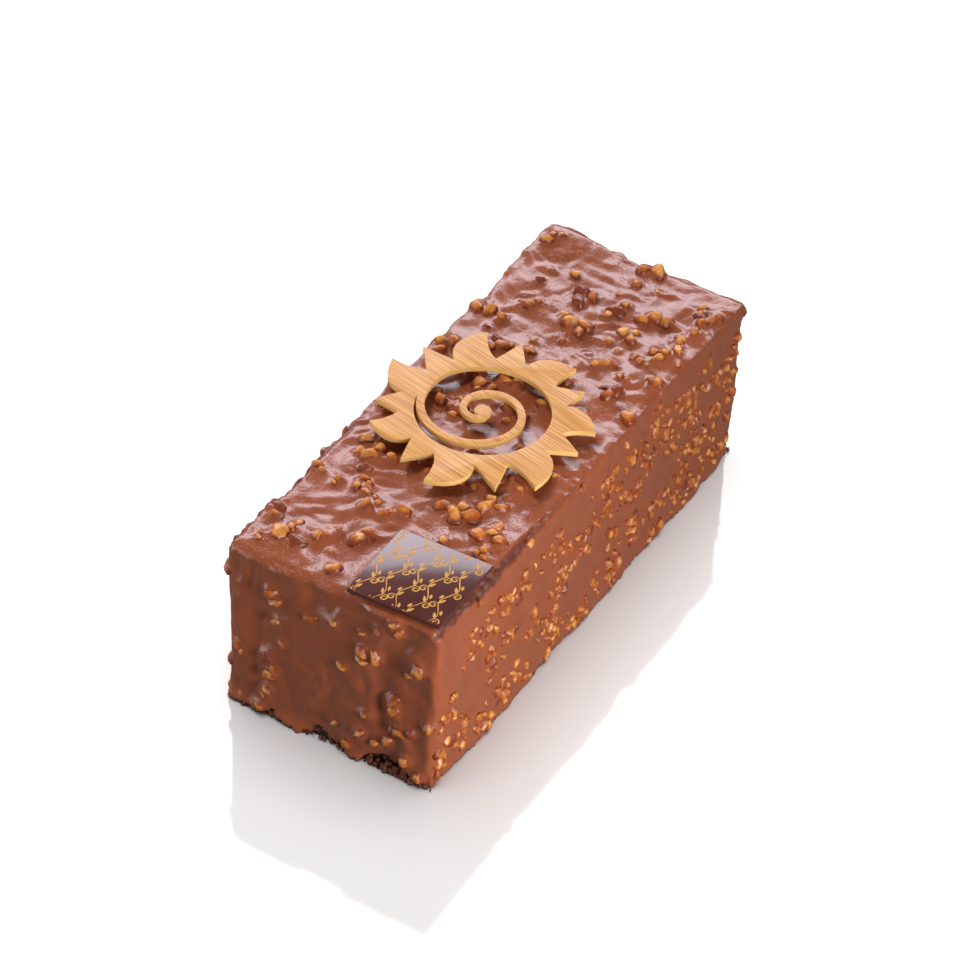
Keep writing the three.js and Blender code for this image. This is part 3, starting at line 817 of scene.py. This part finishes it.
bmesh.ops.transform(
    gold_print, verts=gold_print.verts,
    matrix=Matrix.Translation(print_middle - print_up * PRINT_SUNK)
    @ Vector(UP).rotation_difference(print_up).to_matrix().to_4x4() @ Matrix.Rotation(PLAQUE_TURN, 4, "Z"),
)
print_mesh = bpy.data.meshes.new("gold_print")
gold_print.to_mesh(print_mesh)
gold_print.free()

# Coloured cocoa butter: a dull mustard gold, a little uneven, that takes no sharp highlight.
gilt = bpy.data.materials.new("gold_cocoa_butter_print")
gilt.use_nodes = True
tree = gilt.node_tree
shader = tree.nodes["Principled BSDF"]
coords = add(tree, "TexCoord").outputs["Object"]
flecks = add(tree, "TexNoise", inputs={"Vector": coords, "Scale": 1 / (0.8 * MM), "Detail": 2}).outputs["Fac"]
gold = add(tree, "Mix", {"data_type": "RGBA"}, {0: flecks, 6: linear("#b57a18"), 7: linear("#d6982c")})
tree.links.new(gold.outputs[2], shader.inputs["Base Color"])
shader.inputs["Roughness"].default_value = 0.45
shader.inputs["IOR"].default_value = 1.45
finished("gold_print", print_mesh, gilt)

# ---------------------------------------------------------------- the studio
# A white gloss table in a bright room. A broad soft light beyond the loaf gives the top its
# sheen and another shapes its nuts. A small one near the long side lights that side, and a weak
# one at the other corner of the plaque end picks out its folds.
floor_mesh = bpy.data.meshes.new("table")
bm = bmesh.new()
bmesh.ops.create_grid(bm, x_segments=1, y_segments=1, size=3)
bm.to_mesh(floor_mesh)
bm.free()
floor = bpy.data.objects.new("table", floor_mesh)
bpy.context.scene.collection.objects.link(floor)
# The chocolate would mirror the white table as grey, which a photographer's black cards stop.
floor.visible_glossy = False
floor.visible_diffuse = False
# White acrylic sheet: bright and even, and polished enough for a faint mirror image of the loaf.
white = bpy.data.materials.new("white_gloss_table")
white.use_nodes = True
shader = white.node_tree.nodes["Principled BSDF"]
shader.inputs["Base Color"].default_value = linear("#f4f4f4")
shader.inputs["Roughness"].default_value = 0.07
shader.inputs["IOR"].default_value = 1.6
floor_mesh.materials.append(white)
off_table = bpy.data.collections.new("off_table")
off_table.objects.link(floor)


def soft_light(name, azimuth, elevation, distance, size, radiance, tint="#ffffff"):
    """A softbox that faces the loaf. Azimuth is counted as the view's is."""
    turn, lift = math.radians(azimuth), math.radians(elevation)
    way = Vector((math.sin(turn) * math.cos(lift), -math.cos(turn) * math.cos(lift), math.sin(lift)))
    data = bpy.data.lights.new(name, "AREA")
    data.shape = "RECTANGLE"
    data.size, data.size_y = size
    # A panel's power is four times its area for each unit of its brightness.
    data.energy = radiance * 4 * size[0] * size[1]
    data.color = linear(tint)[:3]
    lamp = bpy.data.objects.new(name, data)
    bpy.context.scene.collection.objects.link(lamp)
    lamp.location = LOAF_PLACE + Vector((0, 0, MID * MM)) + way * distance
    lamp.rotation_euler = way.to_track_quat("Z", "Y").to_euler()
    lamp.visible_camera = False
    return lamp


# The lights on the loaf are flagged off the table, so it throws no hard shadow there. The table
# has an overhead light of its own, and mirrors a far wall.
beyond = soft_light("beyond", 122, 28, 2.2, (3.1, 0.8), 5.3, "#f6f2ff")
above = soft_light("above", 165, 60, 2.4, (0.8, 0.8), 14.5)
above.visible_glossy = False
key = soft_light("key", -27, 14, 0.345, (0.18, 0.18), 11.2)
rim = soft_light("rim", -138, 5, 0.28, (0.16, 0.24), 2.9)
for lamp in (beyond, above, key, rim):
    lamp.light_linking.receiver_collection = off_table
off_table.collection_objects[0].light_linking.link_state = "EXCLUDE"
table_top = soft_light("table_top", -75, 88, 1.5, (1.6, 1.6), 2.85)
far_wall = soft_light("far_wall", 119, 42, 1.7, (1.7, 1.4), 4.2)
far_wall.visible_diffuse = False
on_table = bpy.data.collections.new("on_table")
on_table.objects.link(floor)
for lamp in (table_top, far_wall):
    lamp.light_linking.receiver_collection = on_table

world = bpy.data.worlds.new("studio")
bpy.context.scene.world = world
world.use_nodes = True
tree = world.node_tree
room = tree.nodes["Background"]
room.inputs["Color"].default_value = (1, 1, 1, 1)
# How bright the room's far wall is in the picture, in the coat's mirror image, and as a light.
SEEN, MIRRORED, SHED = 1.6, 0.2, 0.05
ray = add(tree, "LightPath").outputs
unseen = add(tree, "Mix", {"data_type": "FLOAT"}, {0: ray["Is Glossy Ray"], 2: SHED, 3: MIRRORED}).outputs[0]
strength = add(tree, "Mix", {"data_type": "FLOAT"}, {0: ray["Is Camera Ray"], 2: unseen, 3: SEEN})
tree.links.new(strength.outputs[0], room.inputs["Strength"])

bpy.context.scene.view_settings.view_transform = "Standard"
